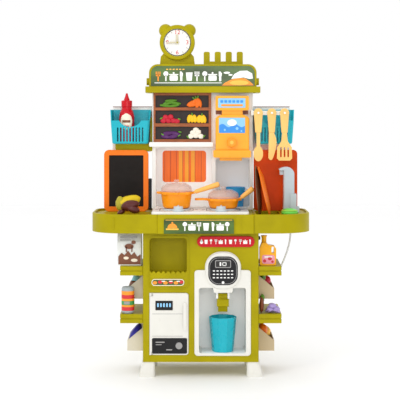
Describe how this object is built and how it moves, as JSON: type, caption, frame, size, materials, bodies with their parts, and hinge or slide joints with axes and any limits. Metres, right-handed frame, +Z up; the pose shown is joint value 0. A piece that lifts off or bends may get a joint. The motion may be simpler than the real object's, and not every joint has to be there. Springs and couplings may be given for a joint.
{
  "type": "toy kitchen",
  "caption": "Upright toy kitchen with a winged counter, hob, sink, water dispenser, small fridge, tower with pantry picture, baskets, hanging utensils, clock and side shelves.",
  "frame": {"origin": "floor level, under the middle of the object's bounding box without its hose", "axes": "+X to the user's right when facing the front, +Y to the back, +Z up; the front faces -Y"},
  "size_m": [0.588, 0.2484, 0.9515],
  "materials": {
    "lime_plastic": "smooth moulded, satin",
    "white_plastic": "smooth moulded, glossy",
    "cream_plastic": "smooth moulded",
    "tan_plastic": "smooth moulded",
    "black_plastic": "glossy black",
    "turquoise_plastic": "smooth moulded, glossy",
    "amber_plastic": "smooth moulded, glossy",
    "orange_plastic": "smooth moulded, glossy",
    "orange_red_board": "smooth, glossy",
    "red_plastic": "smooth, glossy",
    "dark_green_print": "printed sticker, glossy",
    "slate": "matt chalk surface",
    "pale_orange_print": "printed card",
    "brown_print": "printed card",
    "utensil_plastic": "smooth moulded, satin",
    "blue_grey_plastic": "smooth moulded, glossy",
    "brown_plastic": "smooth moulded, glossy",
    "clear_hose": "translucent",
    "pink_clear_plastic": "translucent, glossy",
    "hob_grey": "smooth moulded",
    "carton_print": "printed card",
    "can_print": "printed bands, satin",
    "screw_steel": "zinc plated",
    "food_plastic": "smooth moulded",
    "blue_clear_plastic": "translucent, glossy"
  },
  "bodies": {
    "kitchen": {"back_screws": "screw_steel", "badge": "red_plastic", "basket_bracket": "lime_plastic", "bins_left": "cream_plastic", "bins_right": "tan_plastic", "burner_rings": "hob_grey", "cabinet_back": "lime_plastic", "cabinet_front": "lime_plastic", "cabinet_walls": "lime_plastic", "chalkboard_frame": "orange_plastic", "chalkboard_slate": "slate", "clock_case": "lime_plastic", "clock_dial": "white_plastic", "counter_centre": "lime_plastic", "counter_left_wing": "lime_plastic", "counter_right_wing": "lime_plastic", "dispenser_display": "black_plastic", "dispenser_housing": "white_plastic", "drinks_dispenser": "amber_plastic", "feet": "white_plastic", "fridge_liner": "white_plastic", "hob_plate": "white_plastic", "pantry_panel": "brown_print", "play_food": "food_plastic", "side_board_right": "orange_red_board", "side_screens": "white_plastic", "side_shelves": "lime_plastic", "sign_canopy": "lime_plastic", "sign_plates": "dark_green_print", "top_fence": "lime_plastic", "tower_back": "white_plastic", "tower_frame": "white_plastic", "tumbler": "blue_clear_plastic", "utensil_rail": "white_plastic", "water_hose": "clear_hose", "window_board": "pale_orange_print"},
    "fridge_door": {"fridge_door": "white_plastic"},
    "dispenser_tap": {"dispenser_tap": "lime_plastic"},
    "cup": {"cup": "turquoise_plastic"},
    "hob_knob_left": {"hob_knob_left": "hob_grey"},
    "hob_knob_right": {"hob_knob_right": "hob_grey"},
    "drinks_knob": {"drinks_knob": "orange_plastic"},
    "clock_hour_hand": {"clock_hour_hand": "cream_plastic"},
    "clock_minute_hand": {"clock_minute_hand": "cream_plastic"},
    "faucet": {"faucet": "blue_grey_plastic"},
    "pot": {"pot": "orange_plastic"},
    "pot_lid": {"pot_lid": "pink_clear_plastic"},
    "pan": {"pan": "orange_plastic"},
    "pan_lid": {"pan_lid": "pink_clear_plastic"},
    "basket_left": {"basket_left": "turquoise_plastic"},
    "basket_right": {"basket_right": "turquoise_plastic"},
    "ketchup_bottle": {"ketchup_bottle": "red_plastic"},
    "spoon": {"spoon": "utensil_plastic"},
    "knife": {"knife": "utensil_plastic"},
    "spatula": {"spatula": "utensil_plastic"},
    "plate_dark": {"plate_dark": "brown_plastic"},
    "plate_orange": {"plate_orange": "orange_plastic"},
    "detergent_bottle": {"detergent_bottle": "amber_plastic"},
    "carton": {"carton": "carton_print"},
    "can": {"can": "can_print"}
  },
  "joints": [
    {"name": "fridge_door_hinge", "type": "hinge", "parent": "kitchen", "child": "fridge_door", "pos_m": [-0.1336, -0.0952, 0.1415], "axis": [0, 0, -1], "range_deg": [0, 100]},
    {"name": "tap_lever", "type": "hinge", "parent": "kitchen", "child": "dispenser_tap", "pos_m": [0.059, -0.062, 0.212], "axis": [1, 0, 0], "range_deg": [0, 15], "stiffness_Nm_per_rad": 0.04, "springref_deg": -8.59},
    {"name": "cup_slide", "type": "slide", "parent": "kitchen", "child": "cup", "axis": [0, -1, 0], "range_m": [0, 0.1]},
    {"name": "hob_knob_left_turn", "type": "hinge", "parent": "kitchen", "child": "hob_knob_left", "pos_m": [-0.06, -0.086, 0.448], "axis": [0, 0, 1], "continuous": true},
    {"name": "hob_knob_right_turn", "type": "hinge", "parent": "kitchen", "child": "hob_knob_right", "pos_m": [0.054, -0.086, 0.448], "axis": [0, 0, 1], "continuous": true},
    {"name": "drinks_knob_turn", "type": "hinge", "parent": "kitchen", "child": "drinks_knob", "pos_m": [0.0852, 0.014, 0.6216], "axis": [0, 1, 0], "continuous": true},
    {"name": "clock_hour_turn", "type": "hinge", "parent": "kitchen", "child": "clock_hour_hand", "pos_m": [-0.0655, 0.046, 0.899], "axis": [0, 1, 0], "continuous": true},
    {"name": "clock_minute_turn", "type": "hinge", "parent": "kitchen", "child": "clock_minute_hand", "pos_m": [-0.0655, 0.0435, 0.899], "axis": [0, 1, 0], "continuous": true},
    {"name": "faucet_swivel", "type": "hinge", "parent": "kitchen", "child": "faucet", "pos_m": [0.2405, 0.004, 0.436], "axis": [0, 0, 1], "range_deg": [-60, 60]},
    {"name": "pot_lift", "type": "slide", "parent": "kitchen", "child": "pot", "axis": [0, 0, 1], "range_m": [0, 0.03]},
    {"name": "pot_lid_lift", "type": "slide", "parent": "pot", "child": "pot_lid", "axis": [0, 0, 1], "range_m": [0, 0.05]},
    {"name": "pan_turn", "type": "hinge", "parent": "kitchen", "child": "pan", "pos_m": [0.061, -0.028, 0.444], "axis": [0, 0, 1], "range_deg": [-45, 0]},
    {"name": "pan_lid_slide", "type": "slide", "parent": "pan", "child": "pan_lid", "axis": [0, -1, 0], "range_m": [0, 0.1]},
    {"name": "basket_left_lift", "type": "slide", "parent": "kitchen", "child": "basket_left", "axis": [0, 0, 1], "range_m": [0, 0.035]},
    {"name": "basket_right_lift", "type": "slide", "parent": "kitchen", "child": "basket_right", "axis": [0, 0, 1], "range_m": [0, 0.035]},
    {"name": "ketchup_lift", "type": "slide", "parent": "basket_left", "child": "ketchup_bottle", "axis": [0, 0, 1], "range_m": [0, 0.1]},
    {"name": "spoon_swing", "type": "hinge", "parent": "kitchen", "child": "spoon", "pos_m": [0.158, 0.0085, 0.703], "axis": [0, 1, 0], "range_deg": [-12, 12]},
    {"name": "knife_swing", "type": "hinge", "parent": "kitchen", "child": "knife", "pos_m": [0.1955, 0.0165, 0.703], "axis": [0, 1, 0], "range_deg": [-12, 12]},
    {"name": "spatula_swing", "type": "hinge", "parent": "kitchen", "child": "spatula", "pos_m": [0.23, 0.0085, 0.703], "axis": [0, 1, 0], "range_deg": [-12, 12]},
    {"name": "plate_dark_lift", "type": "slide", "parent": "kitchen", "child": "plate_dark", "axis": [0, -0.6, 0.8], "range_m": [0, 0.05]},
    {"name": "plate_orange_lift", "type": "slide", "parent": "plate_dark", "child": "plate_orange", "axis": [0, -0.6, 0.8], "range_m": [0, 0.05]},
    {"name": "detergent_slide", "type": "slide", "parent": "kitchen", "child": "detergent_bottle", "axis": [0, -1, 0], "range_m": [0, 0.08]},
    {"name": "carton_slide", "type": "slide", "parent": "kitchen", "child": "carton", "axis": [0, -1, 0], "range_m": [0, 0.08]},
    {"name": "can_slide", "type": "slide", "parent": "kitchen", "child": "can", "axis": [0, -1, 0], "range_m": [0, 0.05]}
  ]
}
